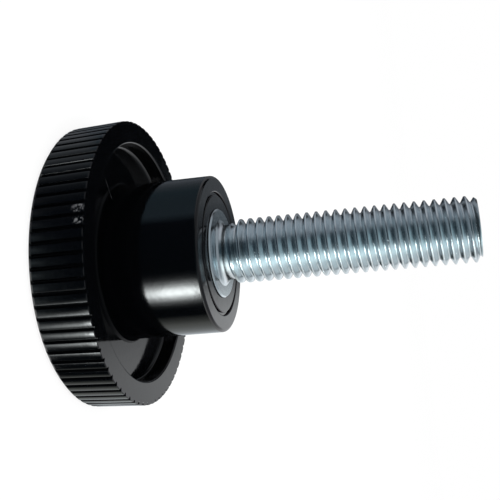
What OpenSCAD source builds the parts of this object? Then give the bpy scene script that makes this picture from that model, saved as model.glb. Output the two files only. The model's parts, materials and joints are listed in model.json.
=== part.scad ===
// Knurled hand knob with a threaded stud moulded into its boss.
// It stands on its head: the back face lies on z = 0 and the stud points up along +Z.

/* [Head] */
// Diameter over the knurl, at the stud side of the rim
head_d = 45; // [41:0.5:60]
// Height of the knurled rim
rim_h = 8.3; // [6.5:0.1:12]
// Mould draft of the rim: how much its radius shrinks towards the back
rim_draft = 0.3; // [0.05:0.05:0.6]
// Edge chamfer between the rim and the back face, which ends the ridges there
back_chamfer = 0.6; // [0.2:0.1:1.5]
// Edge chamfer between the rim and the rim face
rim_chamfer = 0.1; // [0.05:0.05:0.6]

/* [Knurl] */
// Number of ridges around the rim
ridge_count = 80; // [48:1:96]
// Width of each groove at its mouth, between two flat-topped ridges
groove_w = 0.65; // [0.4:0.05:0.9]
// Width of each groove at its floor
groove_floor_w = 0.2; // [0.1:0.05:0.35]
// Depth of the grooves
groove_depth = 0.5; // [0.2:0.05:0.8]

/* [Recess] */
// Wall of the rim, from the crests of the ridges to the mouth of the ring-shaped recess
rim_wall = 3.6; // [2:0.1:5]
// Depth of the recess, below the rim face
recess_depth = 2.8; // [1.8:0.1:4]
// Edge round at the mouth of the recess
mouth_round = 0.25; // [0.1:0.05:0.6]
// Fillet where the walls of the recess meet its floor
foot_fillet = 0.5; // [0.1:0.1:1.2]

/* [Boss] */
// Diameter of the boss
boss_d = 24.6; // [22:0.2:28]
// Height of the whole moulding, from the back face to the boss face
knob_h = 21; // [17:0.5:32]
// Edge round of the boss face
boss_round = 0.45; // [0.1:0.05:1]
// Middle diameter of the ring groove left in the boss face by the ejector sleeve
ring_d = 19; // [17:0.2:20.5]
// Width of the ring groove
ring_w = 0.45; // [0.2:0.05:0.8]
// Depth of the ring groove
ring_depth = 0.3; // [0.1:0.05:0.8]

/* [Stud] */
// Major diameter of the thread
thread_d = 10; // [6:0.5:11]
// Pitch of the thread, which sets its core diameter
thread_pitch = 1.5; // [0.75:0.05:1.75]
// Length of the stud beyond the boss face
stud_l = 40; // [15:1:80]
// Length of the unthreaded neck next to the collar
neck_l = 2.1; // [0.5:0.1:4]
// Length of the chamfer at the tip
tip_l = 1.2; // [0.5:0.1:3]
// Diameter of the collar and of the head that is moulded in
collar_d = 14; // [13:0.2:16]
// How far the collar stands proud of the boss face
collar_proud = 0.35; // [0.1:0.05:1]
// Edge chamfer of the collar, and of the moulded-in end
collar_chamfer = 0.2; // [0.05:0.05:0.5]

/* [Anchor] */
// How deep the head of the stud reaches into the boss
anchor_depth = 14; // [10:0.5:15]
// Width of the groove that keeps the head from pulling out
lock_w = 3; // [1:0.1:4]
// Depth of that groove
lock_depth = 1.5; // [0.5:0.1:2.5]
// Distance from the boss face to that groove
lock_cover = 4; // [2:0.1:5]
// Number of flutes that keep the head from turning
flute_count = 12; // [6:1:18]
// Radius of each flute
flute_r = 0.8; // [0.3:0.1:1]

/* [Hidden] */
$fn = 96;
body_color = "#141518";
stud_color = "#b4bfc6";
// Extra reach of cutting shapes past the faces that they cut
over = 1;

head_r = head_d / 2;
back_r = head_r - rim_draft;
// Lean of the rim and of its grooves, from the axis
lean = atan2(rim_draft, rim_h);
recess_r = head_r - rim_wall;
floor_z = rim_h - recess_depth;
boss_r = boss_d / 2;

// How much a groove widens on each side, per unit of height above its floor
groove_flare = (groove_w - groove_floor_w) / 2 / groove_depth;
ridge_step = 360 / ridge_count;

thread_r = thread_d / 2;
// Core radius of the metric thread form
core_r = thread_r - 0.6134 * thread_pitch;
collar_r = collar_d / 2;
collar_z = knob_h + collar_proud;
neck_z = collar_z + neck_l;
tip_z = knob_h + stud_l;
anchor_z = knob_h - anchor_depth;
lock_z = knob_h - lock_cover - lock_w;

// Radius over the ridges at a height above the back face
function rim_r(z) = back_r + z * tan(lean);

// The area between a corner and a round of radius r in it, with walls that leave it at angles a1 and a2
module corner_area(corner, a1, a2, r) {
    half = (a2 - a1) / 2;
    middle = (a1 + a2) / 2;
    reach = r / tan(half);
    centre = corner + r / sin(half) * [cos(middle), sin(middle)];
    difference() {
        polygon([
            corner,
            corner + reach * [cos(a1), sin(a1)],
            centre,
            corner + reach * [cos(a2), sin(a2)]
        ]);
        translate(centre) circle(r);
    }
}

// Half section of the moulding: rim, recess and boss
module body_section() {
    difference() {
        polygon([
            [0, 0],
            [back_r - back_chamfer, 0],
            [rim_r(back_chamfer), back_chamfer],
            [rim_r(rim_h - rim_chamfer), rim_h - rim_chamfer],
            [head_r - rim_chamfer, rim_h],
            [recess_r, rim_h],
            [recess_r, floor_z],
            [boss_r, floor_z],
            [boss_r, knob_h],
            [0, knob_h]
        ]);
        corner_area([recess_r, rim_h], 270, 360, mouth_round);
        corner_area([boss_r, knob_h], 180, 270, boss_round);
        translate([(ring_d - ring_w) / 2, knob_h - ring_depth]) square([ring_w, ring_depth + over]);
    }
    corner_area([boss_r, floor_z], 0, 90, foot_fillet);
    corner_area([recess_r, floor_z], 90, 180, foot_fillet);
}

// Cross-section of one groove: flat floor and flaring sides, carried on past the rim
module groove_section() {
    outer_half_w = groove_w / 2 + over * groove_flare;
    polygon([
        [-groove_depth, -groove_floor_w / 2],
        [over, -outer_half_w],
        [over, outer_half_w],
        [-groove_depth, groove_floor_w / 2]
    ]);
}

// All the grooves of the knurl, leaning with the draft of the rim
module knurl() {
    groove_l = rim_h / cos(lean);
    for (i = [0:ridge_count - 1])
        rotate((i + 0.5) * ridge_step)
            translate([back_r, 0, 0])
                rotate([0, lean, 0])
                    translate([0, 0, -over])
                        linear_extrude(groove_l + 2 * over) groove_section();
}

// Head of the stud: the collar at the boss face, with a lock groove and flutes below it
module stud_head() {
    difference() {
        rotate_extrude() polygon([
            [0, anchor_z],
            [collar_r - collar_chamfer, anchor_z],
            [collar_r, anchor_z + collar_chamfer],
            [collar_r, lock_z],
            [collar_r - lock_depth, lock_z],
            [collar_r - lock_depth, lock_z + lock_w],
            [collar_r, lock_z + lock_w],
            [collar_r, collar_z - collar_chamfer],
            [collar_r - collar_chamfer, collar_z],
            [0, collar_z]
        ]);
        for (i = [0:flute_count - 1])
            rotate(i * 360 / flute_count)
                translate([collar_r, 0, anchor_z - over])
                    cylinder(h = lock_z - anchor_z + over, r = flute_r);
    }
}

// Threaded shank: neck, thread envelope and chamfered tip
module shank() {
    rotate_extrude() polygon([
        [0, collar_z - over],
        [core_r, collar_z - over],
        [core_r, neck_z],
        [thread_r, neck_z + thread_r - core_r],
        [thread_r, tip_z - tip_l],
        [core_r, tip_z],
        [0, tip_z]
    ]);
}

module knob_body() {
    color(body_color)
        difference() {
            rotate_extrude() body_section();
            knurl();
            stud_head();
        }
}

module threaded_stud() {
    color(stud_color) {
        stud_head();
        shank();
    }
}

knob_body();
threaded_stud();
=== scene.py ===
import json
import math
from collections import Counter
from types import SimpleNamespace
import bpy
from mathutils import Matrix, Vector

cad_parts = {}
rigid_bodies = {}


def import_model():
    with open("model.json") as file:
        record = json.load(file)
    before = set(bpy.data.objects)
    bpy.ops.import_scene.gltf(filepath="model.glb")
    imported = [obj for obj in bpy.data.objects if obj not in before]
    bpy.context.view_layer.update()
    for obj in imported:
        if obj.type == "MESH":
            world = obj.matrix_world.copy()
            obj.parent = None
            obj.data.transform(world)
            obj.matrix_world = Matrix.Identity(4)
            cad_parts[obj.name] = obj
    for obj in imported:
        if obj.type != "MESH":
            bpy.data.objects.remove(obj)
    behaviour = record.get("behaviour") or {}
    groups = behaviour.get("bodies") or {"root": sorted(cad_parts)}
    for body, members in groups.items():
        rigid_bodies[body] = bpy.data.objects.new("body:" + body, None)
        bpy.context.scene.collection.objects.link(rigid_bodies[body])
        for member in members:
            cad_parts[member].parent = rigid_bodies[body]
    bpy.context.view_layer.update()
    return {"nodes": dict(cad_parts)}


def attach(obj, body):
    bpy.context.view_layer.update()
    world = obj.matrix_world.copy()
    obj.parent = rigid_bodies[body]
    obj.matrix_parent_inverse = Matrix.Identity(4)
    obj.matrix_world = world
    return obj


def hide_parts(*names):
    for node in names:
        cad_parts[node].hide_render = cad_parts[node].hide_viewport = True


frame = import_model()
mm = 0.001
weld = 0.001 * mm  # vertices closer than this become one
print("frame loaded:", ", ".join(sorted(frame["nodes"])))


# drawing aids
def startPoint(name):
    # a plane merged to one vertex, to draw a section from
    bpy.ops.object.select_all(action="DESELECT")
    bpy.ops.mesh.primitive_plane_add(size=mm, location=(0, 0, 0))
    obj = bpy.context.object
    obj.name = name
    bpy.ops.object.mode_set(mode="EDIT")
    bpy.ops.mesh.select_all(action="SELECT")
    bpy.ops.mesh.merge(type="CENTER")
    return obj


def drawLine(points):
    # points are (radius, height) in millimetres, in the XZ plane
    lastR, lastZ = 0, 0
    for i, (r, z) in enumerate(points):
        step = ((r - lastR) * mm, 0, (z - lastZ) * mm)
        if i == 0:
            bpy.ops.transform.translate(value=step)
        else:
            bpy.ops.mesh.extrude_vertices_move(TRANSFORM_OT_translate={"value": step})
        lastR, lastZ = r, z


def softCorners(corners, steps=4):
    # corners are (radius, height, round): each round is swapped for an arc of short edges
    points = []
    for i, (r, z, bend) in enumerate(corners):
        if bend == 0 or i in (0, len(corners) - 1):
            points.append((r, z))
            continue
        here = Vector((r, z))
        back = (Vector(corners[i - 1][:2]) - here).normalized()
        ahead = (Vector(corners[i + 1][:2]) - here).normalized()
        half = back.angle(ahead) / 2
        middle = here + (back + ahead).normalized() * bend / math.sin(half)
        first = here + back * bend / math.tan(half) - middle
        last = here + ahead * bend / math.tan(half) - middle
        sweep = first.angle_signed(last)
        for k in range(steps + 1):
            spoke = Matrix.Rotation(-sweep * k / steps, 2) @ first
            points.append(tuple(middle + spoke))
    return points


def turnOnLathe(obj, steps):
    # the section that was just drawn goes once round the axis
    bpy.ops.object.mode_set(mode="OBJECT")
    turned = obj.modifiers.new("lathe", "SCREW")
    turned.axis = "Z"
    turned.steps = turned.render_steps = steps
    turned.use_merge_vertices = True
    turned.merge_threshold = weld
    bpy.ops.object.modifier_apply(modifier="lathe")


def smoothShade(obj, angle):
    bpy.ops.object.select_all(action="DESELECT")
    obj.select_set(True)
    bpy.context.view_layer.objects.active = obj
    bpy.ops.object.shade_smooth_by_angle(angle=math.radians(angle))
    # level faces stay flat up to their rounds: the edges round them are sharp
    levelZ = 0.9999
    level = [key for face in obj.data.polygons if face.normal.z > levelZ for key in face.edge_keys]
    rims = {key for key, uses in Counter(level).items() if uses == 1}
    for edge in obj.data.edges:
        if edge.key in rims:
            edge.use_edge_sharp = True
    # elsewhere the wide faces rule the shading
    even = obj.modifiers.new("evenShading", "WEIGHTED_NORMAL")
    even.keep_sharp = True
    even.weight = 100
    even.thresh = 1e-9
    bpy.ops.object.modifier_apply(modifier="evenShading")


# the black moulding: knurled rim, recess and boss in one shot
knob = {
    "headR": 22.5, "rimH": 8.3, "draft": 0.3, "backEdge": 0.6, "frontEdge": 0.1,
    "recessR": 18.9, "floorZ": 5.5, "foot": 0.5, "mouth": 0.25,
    "bossR": 12.3, "height": 21.0, "bossEdge": 0.45, "ringR": 9.5, "ringW": 0.45, "ringDepth": 0.3,
    # small rounds on the edges: back face, back chamfer, rim face, ring groove, seat of the stud
    "backRound": 0.2, "chamferRound": 0.25, "frontRound": 0.04, "ringRound": 0.15, "seatRound": 0.03,
    # rings that only divide the long faces: radius on the level faces, height on the rim and the boss
    "backRing": 12, "floorRing": 15.5, "faceRing": 20.4, "rimRings": (3, 5.6, 6.8), "bossRing": 12,
    "smooth": 38, "ridges": 80, "ridgeFrom": 20.9,  # radius from which the faces follow the ridges
    # half a groove and half a ridge: distance from the middle of the groove, depth below the crest
    "ridgeForm": [
        (0, 0.5), (0.08, 0.495), (0.11, 0.46), (0.2, 0.285),
        (0.303, 0.041), (0.36, 0.031), (0.5, 0.016), (0.68, 0.004),
    ],
}
# the head of the stud inside the boss, for the hole in the plastic and for the stud itself
anchor = {
    "r": 7.0, "lowZ": 7.0, "lockZ": 14.0, "lockTop": 17.0, "lockR": 5.5,
    "edge": 0.2, "flutes": 12, "fluteR": 0.8, "fluteBand": 0.5,
}
slack = 0.01  # for comparing places, in millimetres


def rimRadius(z):
    return knob["headR"] - knob["draft"] * (1 - z / knob["rimH"])


def fluteRadius(angle):
    # radius of the moulded-in head, cut in by its flutes
    part = 2 * math.pi / anchor["flutes"]
    off = abs((angle / part + 0.5) % 1 - 0.5) * part
    side = anchor["r"] * math.sin(off)
    if side >= anchor["fluteR"]:
        return anchor["r"]
    return anchor["r"] * math.cos(off) - math.sqrt(anchor["fluteR"] ** 2 - side ** 2)


def anchorSection():
    a = anchor
    return [
        (a["r"], a["lockTop"], 0),
        (a["lockR"], a["lockTop"], 0),
        (a["lockR"], a["lockZ"], 0),
        (a["r"], a["lockZ"], 0),
        (a["r"], a["lowZ"] + a["edge"], 0),
        (a["r"] - a["edge"], a["lowZ"], 0),
        (0, a["lowZ"], 0),
    ]


def makeKnob():
    k = knob
    frontZ = k["rimH"] - k["frontEdge"]
    ringOut, ringIn = k["ringR"] + k["ringW"] / 2, k["ringR"] - k["ringW"] / 2
    ringLow = k["height"] - k["ringDepth"]
    body = startPoint("knobBody")
    drawLine(softCorners([
        (0, 0, 0),
        (k["backRing"], 0, 0),
        (rimRadius(0) - k["backEdge"], 0, k["backRound"]),
        (rimRadius(k["backEdge"]), k["backEdge"], k["chamferRound"]),
        *[(rimRadius(z), z, 0) for z in k["rimRings"]],
        (rimRadius(frontZ), frontZ, k["frontRound"]),
        (k["headR"] - k["frontEdge"], k["rimH"], k["frontRound"]),
        (k["faceRing"], k["rimH"], 0),
        (k["recessR"], k["rimH"], k["mouth"]),
        (k["recessR"], k["floorZ"], k["foot"]),
        (k["floorRing"], k["floorZ"], 0),
        (k["bossR"], k["floorZ"], k["foot"]),
        (k["bossR"], k["bossRing"], 0),
        (k["bossR"], k["height"], k["bossEdge"]),
        (ringOut, k["height"], k["ringRound"]),
        (ringOut, ringLow, 0),
        (ringIn, ringLow, 0),
        (ringIn, k["height"], k["ringRound"]),
        (anchor["r"], k["height"], k["seatRound"]),
        *anchorSection(),
    ]))
    turnOnLathe(body, k["ridges"] * 2 * len(k["ridgeForm"]))
    bpy.ops.object.mode_set(mode="EDIT")
    bpy.ops.mesh.select_all(action="SELECT")
    bpy.ops.mesh.remove_doubles(threshold=weld)
    bpy.ops.mesh.normals_make_consistent(inside=False)
    bpy.ops.object.mode_set(mode="OBJECT")
    return body


def cutKnurl(body):
    # every line of faces along the rim goes to its place in the ridge form, the rest of the turn stays even
    k, a = knob, anchor
    half = len(k["ridgeForm"])
    pitch = 2 * math.pi / k["ridges"]
    form = k["ridgeForm"] + [(k["headR"] * pitch / 2, 0)]
    for v in body.data.vertices:
        r, z = v.co.xy.length / mm, v.co.z / mm
        if r < slack:
            continue
        angle = math.atan2(v.co.y, v.co.x)
        line = round(angle / pitch * 2 * half) - half
        groove = round(line / 2 / half)
        line -= groove * 2 * half
        side, depth = form[abs(line)]
        if r > k["ridgeFrom"]:
            angle = (groove + 0.5) * pitch + math.copysign(side / k["headR"], line)
            r = min(r, rimRadius(z) - depth)
        elif a["lowZ"] - slack < z < a["lockZ"] + slack and a["r"] - a["fluteBand"] < r < a["r"] + slack:
            r = min(r, fluteRadius(angle))
        v.co.x = r * mm * math.cos(angle)
        v.co.y = r * mm * math.sin(angle)


knobBody = makeKnob()
cutKnurl(knobBody)
smoothShade(knobBody, knob["smooth"])
print("knob body:", len(knobBody.data.polygons), "faces")


# the stud: a rolled thread on a turned neck, collar and moulded-in head
stud = {
    "threadR": 5.0, "pitch": 1.5, "depth": 0.92, "tipZ": 61.0, "tipL": 0.75, "tipR": 4.42,
    "neckZ": 22.8, "neckR": 4.3, "runOut": 1.6, "leadSlope": 0.5, "cutZ": 22.5, "neckFillet": 0.9,
    "collarZ": 21.35, "collarEdge": 0.2, "collarRound": 0.08,
    "startZ": 18.78, "turns": 30, "steps": 96, "bridge": 0.1, "smooth": 40,
    # half of the thread form along the axis: rise from the root, then what is missing to the crest
    "rootForm": [(0, 0), (0.002, 0.05), (0.015, 0.08), (0.05, 0.112), (0.1, 0.145)],
    "crestForm": [(0.06, 0.585), (0.025, 0.61), (0.006, 0.635), (0, 0.66), (0, 0.75)],
}


def threadRadius(r, z, angle):
    # the ridge grows out of the neck along its turn, the roots run out into it, and the crests die away at the tip
    s = stud
    core = s["threadR"] - s["depth"]
    part = angle / (2 * math.pi) % 1
    crestZ = s["startZ"] + s["pitch"] * (math.floor((z - s["startZ"]) / s["pitch"] - part) + part + 0.5)
    lead = s["neckR"] + max(0, crestZ - s["neckZ"]) * s["leadSlope"]
    tip = s["tipR"] + max(0, s["tipZ"] - z) * (s["threadR"] - s["tipR"]) / s["tipL"]
    above = (z - s["neckZ"]) / s["runOut"]
    root = s["neckR"] + (core - s["neckR"]) * min(1, max(0, above))
    return max(root, min(r, lead, tip))


def makeStud():
    s, a = stud, anchor
    p, top = s["pitch"], s["threadR"]
    core = top - s["depth"]
    rise = [(core + up, z) for up, z in s["rootForm"]] + [(top - down, z) for down, z in s["crestForm"]]
    fall = [(r, p - z) for r, z in reversed(rise[:-1])]
    thread = startPoint("threadedStud")
    drawLine([(r, z + s["startZ"]) for r, z in rise + fall])
    bpy.ops.object.mode_set(mode="OBJECT")
    screw = thread.modifiers.new("screw", "SCREW")
    screw.axis = "Z"
    screw.screw_offset = p * mm
    screw.iterations = s["turns"]
    screw.steps = screw.render_steps = s["steps"]
    screw.use_smooth_shade = False
    bpy.ops.object.modifier_apply(modifier="screw")
    bpy.ops.object.mode_set(mode="EDIT")
    bpy.ops.mesh.select_all(action="SELECT")
    bpy.ops.mesh.remove_doubles(threshold=2 * weld)
    bpy.ops.object.mode_set(mode="OBJECT")
    for v in thread.data.vertices:
        r = v.co.xy.length
        share = threadRadius(r / mm, v.co.z / mm, math.atan2(v.co.y, v.co.x)) * mm / r
        v.co.x *= share
        v.co.y *= share
    bpy.ops.object.mode_set(mode="EDIT")
    bpy.ops.mesh.select_all(action="SELECT")
    level = {"plane_no": (0, 0, 1), "threshold": 1e-7}
    bpy.ops.mesh.bisect(plane_co=(0, 0, s["tipZ"] * mm), use_fill=True, clear_outer=True, **level)
    bpy.ops.mesh.select_all(action="SELECT")
    bpy.ops.mesh.bisect(plane_co=(0, 0, s["cutZ"] * mm), clear_inner=True, **level)
    bpy.ops.object.mode_set(mode="OBJECT")
    # neck, collar and moulded-in head are turned on their own and bridged to the open end of the thread
    head = startPoint("studHead")
    drawLine(softCorners([
        (s["neckR"], s["cutZ"] - s["bridge"], 0),
        (s["neckR"], s["collarZ"], s["neckFillet"]),
        (a["r"] - s["collarEdge"], s["collarZ"], s["collarRound"]),
        (a["r"], s["collarZ"] - s["collarEdge"], s["collarRound"]),
        *anchorSection(),
    ], steps=5))
    turnOnLathe(head, s["steps"] * 2)
    bpy.ops.object.select_all(action="DESELECT")
    head.select_set(True)
    thread.select_set(True)
    bpy.context.view_layer.objects.active = thread
    bpy.ops.object.join()
    bpy.ops.object.mode_set(mode="EDIT")
    bpy.ops.mesh.select_all(action="SELECT")
    bpy.ops.mesh.remove_doubles(threshold=2 * weld)
    bpy.ops.mesh.select_all(action="DESELECT")
    bpy.ops.mesh.select_mode(type="EDGE")
    bpy.ops.mesh.select_non_manifold(
        use_wire=False, use_multi_face=False, use_non_contiguous=False, use_verts=False,
    )
    bpy.ops.mesh.bridge_edge_loops()
    bpy.ops.mesh.select_all(action="SELECT")
    bpy.ops.mesh.normals_make_consistent(inside=False)
    bpy.ops.object.mode_set(mode="OBJECT")
    # flutes of the hidden head
    for v in thread.data.vertices:
        r, z = v.co.xy.length, v.co.z / mm
        if z < a["lockZ"] + slack and r > (a["r"] - a["fluteBand"]) * mm:
            limit = fluteRadius(math.atan2(v.co.y, v.co.x)) * mm
            if r > limit:
                v.co.x *= limit / r
                v.co.y *= limit / r
    return thread


threadedStud = makeStud()
smoothShade(threadedStud, stud["smooth"])
print("stud:", len(threadedStud.data.polygons), "faces")


# finishes
plastic = {
    "color": (0.0009, 0.0011, 0.0015, 1), "ior": 1.5, "gloss": 0.5, "roughLow": 0.05, "roughHigh": 0.11,
    # the grooves are rougher, from this much below the crests, and so is the foot of the boss; there the gloss is also
    # cut down, which is painted shade that darkens these creases
    "dullRough": 0.1, "shadeGloss": 0.08, "dullShadeFrom": (0.045, 0.1), "grooveLow": 0.7, "faceKeep": 0.05,
    "footSpare": 0.03,
    "worn": (0.11, 0.112, 0.118, 1), "wornRough": 0.4, "wornEdge": (0.02, 0.35),
    # scales of the noises, then strength and height in millimetres of the bumps
    "chips": 2600, "cloud": 420, "peel": 900, "grain": 5200,
    "peelBump": (0.12, 0.05), "grainBump": (0.1, 0.01), "dentBump": (0.7, 0.08),
}
# middle, half sizes, facing and fineness of each mark: two nicked ridges and a scratch across the recess
scuffs = [
    {"at": (-8.65, -20.75, 7.4), "size": (0.75, 0.75, 1.1), "facing": (0, 0, 1), "chips": (0.5, 0.6)},
    {"at": (-6.95, -21.35, 7.5), "size": (0.6, 0.6, 0.9), "facing": (0, 0, 1), "chips": (0.5, 0.6)},
    {"at": (-11.67, -6.9, 6.2), "size": (2.15, 2.15, 0.04), "facing": (0.2185, -0.3767, -0.9001), "chips": (0.2, 0.4)},
]
zinc = {
    "cool": (0.63, 0.75, 0.79, 1), "warm": (0.74, 0.78, 0.81, 1), "roughLow": 0.16, "roughHigh": 0.26,
    "cloud": 260, "speck": 2400, "bump": (0.2, 0.02),
}
noiseSpan = (0.3, 0.7)  # where most of a noise lies


def nodeTools(tree):
    link = tree.links.new

    def add(kind, values=None, **settings):
        node = tree.nodes.new(kind)
        for key, value in settings.items():
            setattr(node, key, value)
        for key, value in (values or {}).items():
            if isinstance(value, bpy.types.NodeSocket):
                link(value, node.inputs[key])
            else:
                node.inputs[key].default_value = value
        return node

    def calc(operation, *terms):
        return add("ShaderNodeMath", dict(enumerate(terms)), operation=operation).outputs["Value"]

    def spread(value, low, high, toLow=0, toHigh=1, ease="LINEAR"):
        limits = {"Value": value, "From Min": low, "From Max": high, "To Min": toLow, "To Max": toHigh}
        return add("ShaderNodeMapRange", limits, interpolation_type=ease).outputs["Result"]

    def noise(place, scale, detail, rough):
        values = {"Vector": place, "Scale": scale, "Detail": detail, "Roughness": rough}
        return add("ShaderNodeTexNoise", values).outputs["Fac"]

    def mixed(share, first, second):
        return add("ShaderNodeMix", {"Factor": share, "A": first, "B": second}, data_type="RGBA").outputs["Result"]

    def bump(height, size, under=None, invert=False):
        values = {"Height": height, "Strength": size[0], "Distance": size[1] * mm}
        if under is not None:
            values["Normal"] = under
        return add("ShaderNodeBump", values, invert=invert).outputs["Normal"]

    return SimpleNamespace(link=link, add=add, calc=calc, spread=spread, noise=noise, mixed=mixed, bump=bump)


def newFinish(name):
    mat = bpy.data.materials.new(name)
    mat.use_nodes = True
    mat.node_tree.nodes.clear()
    n = nodeTools(mat.node_tree)
    shader = n.add("ShaderNodeBsdfPrincipled")
    n.add("ShaderNodeOutputMaterial", {"Surface": shader.outputs["BSDF"]})
    place = n.add("ShaderNodeTexCoord").outputs["Object"]
    return mat, shader, n, place


def scuffMarks(n, place):
    # each mark is a soft ball, broken up into chips
    chips = n.noise(place, plastic["chips"], 3, 0.6)
    marks = None
    for s in scuffs:
        spot = n.add("ShaderNodeMapping", {
            "Vector": place, "Location": Vector(s["at"]) * mm, "Scale": Vector(s["size"]) * mm,
            "Rotation": Vector(s["facing"]).to_track_quat("Z", "Y").to_euler(),
        }, vector_type="TEXTURE")
        ball = n.add("ShaderNodeTexGradient", {"Vector": spot.outputs["Vector"]}, gradient_type="SPHERICAL")
        inside = n.spread(ball.outputs["Fac"], *plastic["wornEdge"])
        mark = n.calc("MULTIPLY", inside, n.spread(chips, *s["chips"]))
        marks = mark if marks is None else n.calc("MAXIMUM", marks, mark)
    return marks


# the knurl's grooves and the fillet round the foot of the boss: a rougher finish, and a weaker gloss that is painted
# shade
def dullAndShadedPlaces(n, place):
    p, k = plastic, knob
    z = n.add("ShaderNodeSeparateXYZ", {"Vector": place}).outputs["Z"]
    flat = n.add("ShaderNodeVectorMath", {0: place, 1: (1, 1, 0)}, operation="MULTIPLY").outputs["Vector"]
    radius = n.add("ShaderNodeVectorMath", {0: flat}, operation="LENGTH").outputs["Value"]
    # the grooves of the knurl: depth below the crests, by the height on the rim
    crest = n.calc("MULTIPLY_ADD", z, k["draft"] / k["rimH"], rimRadius(0) * mm)
    below = n.calc("SUBTRACT", crest, radius)
    groove = n.spread(below, *[depth * mm for depth in p["dullShadeFrom"]])
    onRim = n.calc("LESS_THAN", below, p["grooveLow"] * mm)
    side = n.calc("LESS_THAN", z, (k["rimH"] - p["faceKeep"]) * mm)
    inGroove = n.calc("MULTIPLY", groove, n.calc("MULTIPLY", onRim, side))
    # the fillet round the foot of the boss
    half = k["foot"] / 2
    footZ = n.calc("COMPARE", z, (k["floorZ"] + half) * mm, (half + p["footSpare"]) * mm)
    footR = n.calc("LESS_THAN", radius, (k["bossR"] + k["foot"] + p["footSpare"]) * mm)
    return n.calc("MAXIMUM", inGroove, n.calc("MULTIPLY", footZ, footR))


def makePlastic():
    p = plastic
    mat, shader, n, place = newFinish("glossBlackPlastic")
    marks = scuffMarks(n, place)
    dulledAndShaded = dullAndShadedPlaces(n, place)
    shader.inputs["IOR"].default_value = p["ior"]
    n.link(n.mixed(marks, p["color"], p["worn"]), shader.inputs["Base Color"])
    # a weaker gloss in the grooves and round the foot of the boss: painted shade that darkens them
    n.link(n.spread(dulledAndShaded, 0, 1, p["gloss"], p["shadeGloss"]), shader.inputs["Specular IOR Level"])
    rough = n.spread(n.noise(place, p["cloud"], 4, 0.6), *noiseSpan, p["roughLow"], p["roughHigh"])
    rough = n.calc("MULTIPLY_ADD", dulledAndShaded, p["dullRough"], rough)
    n.link(n.calc("MULTIPLY_ADD", marks, p["wornRough"], rough), shader.inputs["Roughness"])
    normal = n.bump(n.noise(place, p["peel"], 2, 0.5), p["peelBump"])
    normal = n.bump(n.noise(place, p["grain"], 2, 0.5), p["grainBump"], under=normal)
    n.link(n.bump(marks, p["dentBump"], under=normal, invert=True), shader.inputs["Normal"])
    return mat


def makeZinc():
    p = zinc
    mat, shader, n, place = newFinish("brightZinc")
    shader.inputs["Metallic"].default_value = 1
    n.link(n.mixed(n.noise(place, p["cloud"], 5, 0.6), p["cool"], p["warm"]), shader.inputs["Base Color"])
    speck = n.noise(place, p["speck"], 4, 0.65)
    n.link(n.spread(speck, *noiseSpan, p["roughLow"], p["roughHigh"]), shader.inputs["Roughness"])
    n.link(n.bump(speck, p["bump"]), shader.inputs["Normal"])
    return mat


knobBody.data.materials.append(makePlastic())
threadedStud.data.materials.append(makeZinc())
for piece, node, slotName in [
    (knobBody, "knob_body", "black_plastic"),
    (threadedStud, "threaded_stud", "plated_steel"),
]:
    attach(piece, "root")
    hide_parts(node)
print("finishes set")


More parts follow.
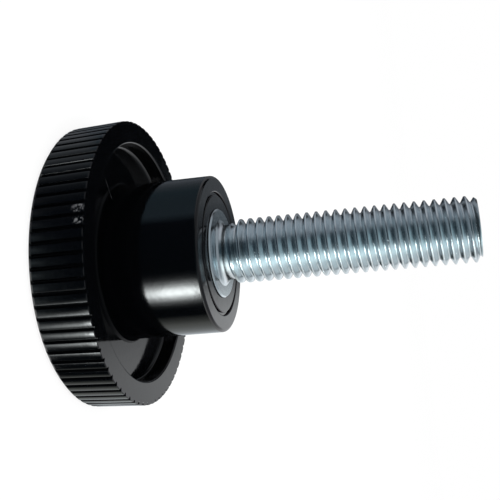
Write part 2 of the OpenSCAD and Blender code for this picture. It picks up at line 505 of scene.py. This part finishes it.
# the studio, turned a little about the axis so that the ridges fall as in the photo
studioTurn = math.radians(1.95)
turn = Matrix.Rotation(studioTurn, 3, "Z")
camera = {
    "place": (-7.946, -120.365, 54.538), "view": (-0.01917, 0.98413, -0.17641), "up": (-0.99415, 0, 0.10802),
    "lens": 56.657, "shift": (-0.076, -0.14),
}
studio = {
    # what the gloss mirrors: degrees round the axis from the camera's side, then the colour there,
    # in six belts along the axis: down beyond the head, as the ridges see it, as the boss does, level with the stud,
    # then up past the tip, as the boss face sees it and as the rim face does
    "headBelt": [
        (-180, (0.2, 0.2, 0.22)), (-110, (0.2, 0.2, 0.23)), (-55, (0.2, 0.205, 0.23)), (-35, (0.25, 0.3, 0.33)),
        (-10, (0.46, 0.57, 0.61)), (20, (0.5, 0.6, 0.63)), (40, (0.95, 1.05, 1.07)), (75, (1, 1.05, 1.05)),
        (100, (0.75, 0.76, 0.77)), (180, (0.72, 0.72, 0.72)),
    ],
    "rimBelt": [
        (-180, (0.004, 0.006, 0.008)), (-165, (0.02, 0.03, 0.04)), (-150, (0.18, 0.19, 0.21)), (-130, (0.26, 0.28, 0.3)),
        (-112, (0.22, 0.245, 0.27)), (-98, (0.2, 0.225, 0.25)), (-86, (0.13, 0.15, 0.17)), (-76, (0.07, 0.085, 0.1)),
        (-66, (0.045, 0.055, 0.07)), (-56, (0.03, 0.04, 0.05)), (-45, (0.012, 0.02, 0.035)), (10, (0.006, 0.014, 0.022)),
        (89, (0.01, 0.015, 0.018)), (98, (0.25, 0.27, 0.25)), (112, (0.6, 0.63, 0.6)), (138, (0.7, 0.75, 0.76)),
        (150, (0.15, 0.17, 0.19)), (160, (0.02, 0.025, 0.03)),
    ],
    "walls": [
        (-180, (0.004, 0.006, 0.008)), (-165, (0.02, 0.03, 0.04)), (-150, (0.16, 0.18, 0.21)), (-130, (0.14, 0.17, 0.2)),
        (-112, (0.1, 0.16, 0.2)), (-68, (0.18, 0.27, 0.34)), (-55, (0.012, 0.02, 0.035)), (10, (0.006, 0.014, 0.022)),
        (89, (0.01, 0.015, 0.018)), (98, (0.25, 0.27, 0.25)), (112, (0.6, 0.63, 0.6)), (150, (0.76, 0.82, 0.86)),
        (166, (0.78, 0.85, 0.9)), (172, (0.02, 0.025, 0.03)),
    ],
    "studBelt": [
        (-180, (0.012, 0.014, 0.016)), (-172, (0.05, 0.05, 0.055)), (-150, (0.2, 0.2, 0.22)), (-120, (0.44, 0.44, 0.47)),
        (-66, (0.44, 0.45, 0.48)), (-50, (0.17, 0.19, 0.21)), (-37, (0.035, 0.05, 0.06)), (-4, (0.025, 0.042, 0.055)),
        (14, (0.13, 0.17, 0.19)), (29, (0.48, 0.56, 0.58)), (43, (1.4, 1.52, 1.54)), (66, (1.6, 1.7, 1.68)),
        (88, (0.9, 0.9, 0.9)), (130, (0.74, 0.73, 0.73)), (165, (0.8, 0.8, 0.82)), (171, (0.03, 0.033, 0.036)),
    ],
    "faceBelt": [
        (-180, (0.18, 0.2, 0.22)), (-150, (0.25, 0.26, 0.28)), (-120, (0.44, 0.44, 0.47)), (-66, (0.44, 0.45, 0.48)),
        (-50, (0.17, 0.19, 0.21)), (-37, (0.05, 0.07, 0.08)), (-4, (0.04, 0.06, 0.07)), (14, (0.15, 0.18, 0.2)),
        (29, (0.48, 0.56, 0.58)), (43, (1.1, 1.2, 1.2)), (66, (1.2, 1.27, 1.27)), (88, (0.9, 0.9, 0.9)),
        (148, (0.95, 0.97, 1)), (172, (0.95, 0.98, 1)), (173.5, (0.55, 0.58, 0.6)), (175, (0.03, 0.04, 0.05)),
        (177.5, (0.015, 0.02, 0.025)), (179.5, (0.15, 0.17, 0.19)),
    ],
    "topBelt": [
        (-180, (0.002, 0.0025, 0.003)), (-140, (0.003, 0.0035, 0.004)), (-120, (0.3, 0.3, 0.33)),
        (-66, (0.3, 0.3, 0.33)), (-50, (0.15, 0.16, 0.18)), (-37, (0.05, 0.07, 0.08)), (-4, (0.04, 0.06, 0.07)),
        (14, (0.12, 0.14, 0.15)), (29, (0.35, 0.4, 0.42)), (43, (0.7, 0.75, 0.76)), (88, (0.6, 0.62, 0.63)),
        (140, (0.55, 0.57, 0.59)), (168, (0.76, 0.78, 0.8)), (173, (0.3, 0.31, 0.32)), (176, (0.01, 0.012, 0.014)),
    ],
    # the strip light, as shares of its full strength round the axis and along it
    "strip": [
        (16, 0), (22, 0.004), (27.5, 0.02), (33, 0.125), (38.5, 0.37), (44, 0.9), (47, 1), (50, 0.97), (56, 0.37),
        (62.5, 0.07), (69, 0.008), (75, 0),
    ],
    "stripAlong": [
        (-0.6, 0), (-0.51, 0.12), (-0.475, 0.28), (-0.455, 0.75), (-0.43, 1), (-0.4, 0.8), (-0.37, 0.5), (-0.355, 0.58),
        (-0.34, 0.95), (-0.32, 1.15), (-0.305, 1.1), (-0.294, 0.55), (-0.275, 0.1), (-0.24, 0),
    ],
    "stripPower": 24, "stripColor": (0.94, 1, 1, 1), "plain": 1.0, "sky": (0.3, 0.32, 0.345, 1),
    # heights of the mirrored direction between which one belt gives way to the next
    "headEdge": (-0.5, -0.62), "rimEdge": (-0.415, -0.44), "studEdge": (-0.28, -0.16),
    "faceEdge": (0.02, 0.1), "topEdge": (0.297, 0.312), "skyEdge": (0.48, 0.6),
    # and between which what is mirrored twice fades in and out, and how far
    "fadeIn": (0.05, 0.12), "fadeOut": (0.5, 0.44), "fadeMost": 0.97,
}
overhead = {"to": (0.1, -0.2, 1), "far": 0.6, "size": 0.4, "power": 2.0}
ground = {"size": 4, "paint": (0.97, 0.97, 0.97, 1), "white": 0.85}


def addCamera():
    data = bpy.data.cameras.new("camera")
    obj = bpy.data.objects.new("camera", data)
    bpy.context.scene.collection.objects.link(obj)
    look = turn @ Vector(camera["view"]).normalized()
    right = look.cross(turn @ Vector(camera["up"])).normalized()
    basis = Matrix((right, right.cross(look), -look)).transposed().to_4x4()
    obj.matrix_world = Matrix.Translation(turn @ Vector(camera["place"]) * mm) @ basis
    data.lens = camera["lens"]
    data.shift_x, data.shift_y = camera["shift"]
    data.clip_start, data.clip_end = 0.01, 10
    bpy.context.scene.camera = obj


def addOverhead():
    data = bpy.data.lights.new("overhead", "AREA")
    data.size = overhead["size"]
    data.energy = overhead["power"]
    obj = bpy.data.objects.new("overhead", data)
    bpy.context.scene.collection.objects.link(obj)
    away = (turn @ Vector(overhead["to"])).normalized()
    obj.location = away * overhead["far"]
    obj.rotation_euler = away.to_track_quat("Z", "Y").to_euler()
    obj.visible_camera = False
    obj.visible_glossy = False


def fillRamp(node, stops, low, high):
    band = node.color_ramp
    while len(band.elements) < len(stops):
        band.elements.new(0.5)
    for element, (place, value) in zip(band.elements, stops):
        color = value if isinstance(value, tuple) else (value,) * 3
        element.position = (place - low) / (high - low)
        element.color = (*color, 1)


def addWorld():
    # camera rays see white, mirrored rays a studio with one pale side and a strip light, all others an even light
    s = studio
    world = bpy.data.worlds.new("studio")
    bpy.context.scene.world = world
    world.use_nodes = True
    world.cycles.sampling_method = "NONE"
    world.node_tree.nodes.clear()
    n = nodeTools(world.node_tree)
    coords = n.add("ShaderNodeTexCoord").outputs["Generated"]
    turned = n.add("ShaderNodeMapping", {"Vector": coords, "Rotation": (0, 0, math.pi / 2 - studioTurn)})
    axes = n.add("ShaderNodeSeparateXYZ", {"Vector": turned.outputs["Vector"]}).outputs
    # after the quarter turn the camera's side lies along +X and the lower side of the picture along +Y
    around = n.spread(n.calc("ARCTAN2", axes["Y"], axes["X"]), -math.pi, math.pi)
    along = n.spread(axes["Z"], -1, 1)

    def belt(name, place=around, low=-180, high=180):
        ramp = n.add("ShaderNodeValToRGB", {"Fac": place})
        fillRamp(ramp, s[name], low, high)
        return ramp.outputs["Color"]

    def above(edge, most=1):
        return n.spread(axes["Z"], *s[edge], 0, most, ease="SMOOTHSTEP")

    # later bounces, from one flank of the thread to the next, keep to the stud's own belt
    paths = n.add("ShaderNodeLightPath").outputs
    again = n.calc("GREATER_THAN", paths["Ray Depth"], 2.5)  # a ray mirrored once has depth 2
    seen = n.mixed(above("rimEdge"), belt("walls"), belt("rimBelt"))
    seen = n.mixed(n.calc("MAXIMUM", above("studEdge"), again), seen, belt("studBelt"))
    seen = n.mixed(above("headEdge"), seen, belt("headBelt"))
    seen = n.mixed(above("faceEdge"), seen, belt("faceBelt"))
    seen = n.mixed(above("topEdge"), seen, belt("topBelt"))
    seen = n.mixed(above("skyEdge"), seen, s["sky"])
    # mirrored twice and then upwards, as across the recess, almost nothing comes back
    twice = n.calc("COMPARE", paths["Ray Depth"], 3, 0.5)
    slope = n.calc("MULTIPLY", above("fadeIn", s["fadeMost"]), above("fadeOut"))
    seen = n.mixed(n.calc("MULTIPLY", slope, twice), seen, (0, 0, 0, 1))
    # the strip light shows in the first mirror only
    strip = n.calc("MULTIPLY", belt("strip"), belt("stripAlong", along, -1, 1))
    strip = n.calc("MULTIPLY", strip, n.calc("SUBTRACT", 1, again))
    strip = n.calc("MULTIPLY", strip, s["stripPower"])

    def glow(color, strength):
        return n.add("ShaderNodeBackground", {"Color": color, "Strength": strength}).outputs["Background"]

    def either(share, first, second):
        return n.add("ShaderNodeMixShader", {0: share, 1: first, 2: second}).outputs["Shader"]

    white = (1, 1, 1, 1)
    mirrored = n.add("ShaderNodeAddShader", {0: glow(seen, 1), 1: glow(s["stripColor"], strip)}).outputs["Shader"]
    room = either(paths["Is Glossy Ray"], glow(white, s["plain"]), mirrored)
    direct = n.calc("MAXIMUM", paths["Is Camera Ray"], paths["Is Transmission Ray"])
    n.add("ShaderNodeOutputWorld", {"Surface": either(direct, room, glow(white, 1))})


def addFloor():
    # white to the camera, with a share left to the light so that the shadow stays
    bpy.ops.object.select_all(action="DESELECT")
    bpy.ops.mesh.primitive_plane_add(size=ground["size"], location=(0, 0, 0))
    floor = bpy.context.object
    floor.name = "floor"
    mat = bpy.data.materials.new("paleFloor")
    mat.use_nodes = True
    mat.node_tree.nodes.clear()
    n = nodeTools(mat.node_tree)
    paint = n.add("ShaderNodeBsdfDiffuse", {"Color": ground["paint"]}).outputs["BSDF"]
    glow = n.add("ShaderNodeEmission", {"Color": (1, 1, 1, 1), "Strength": 1}).outputs["Emission"]
    direct = n.add("ShaderNodeLightPath").outputs["Is Camera Ray"]
    share = n.calc("MULTIPLY", direct, ground["white"])
    mix = n.add("ShaderNodeMixShader", {0: share, 1: paint, 2: glow}).outputs["Shader"]
    n.add("ShaderNodeOutputMaterial", {"Surface": mix})
    floor.data.materials.append(mat)
    floor.visible_glossy = False


addCamera()
addOverhead()
addWorld()
addFloor()
bpy.context.scene.view_settings.view_transform = "Standard"
print("studio set")
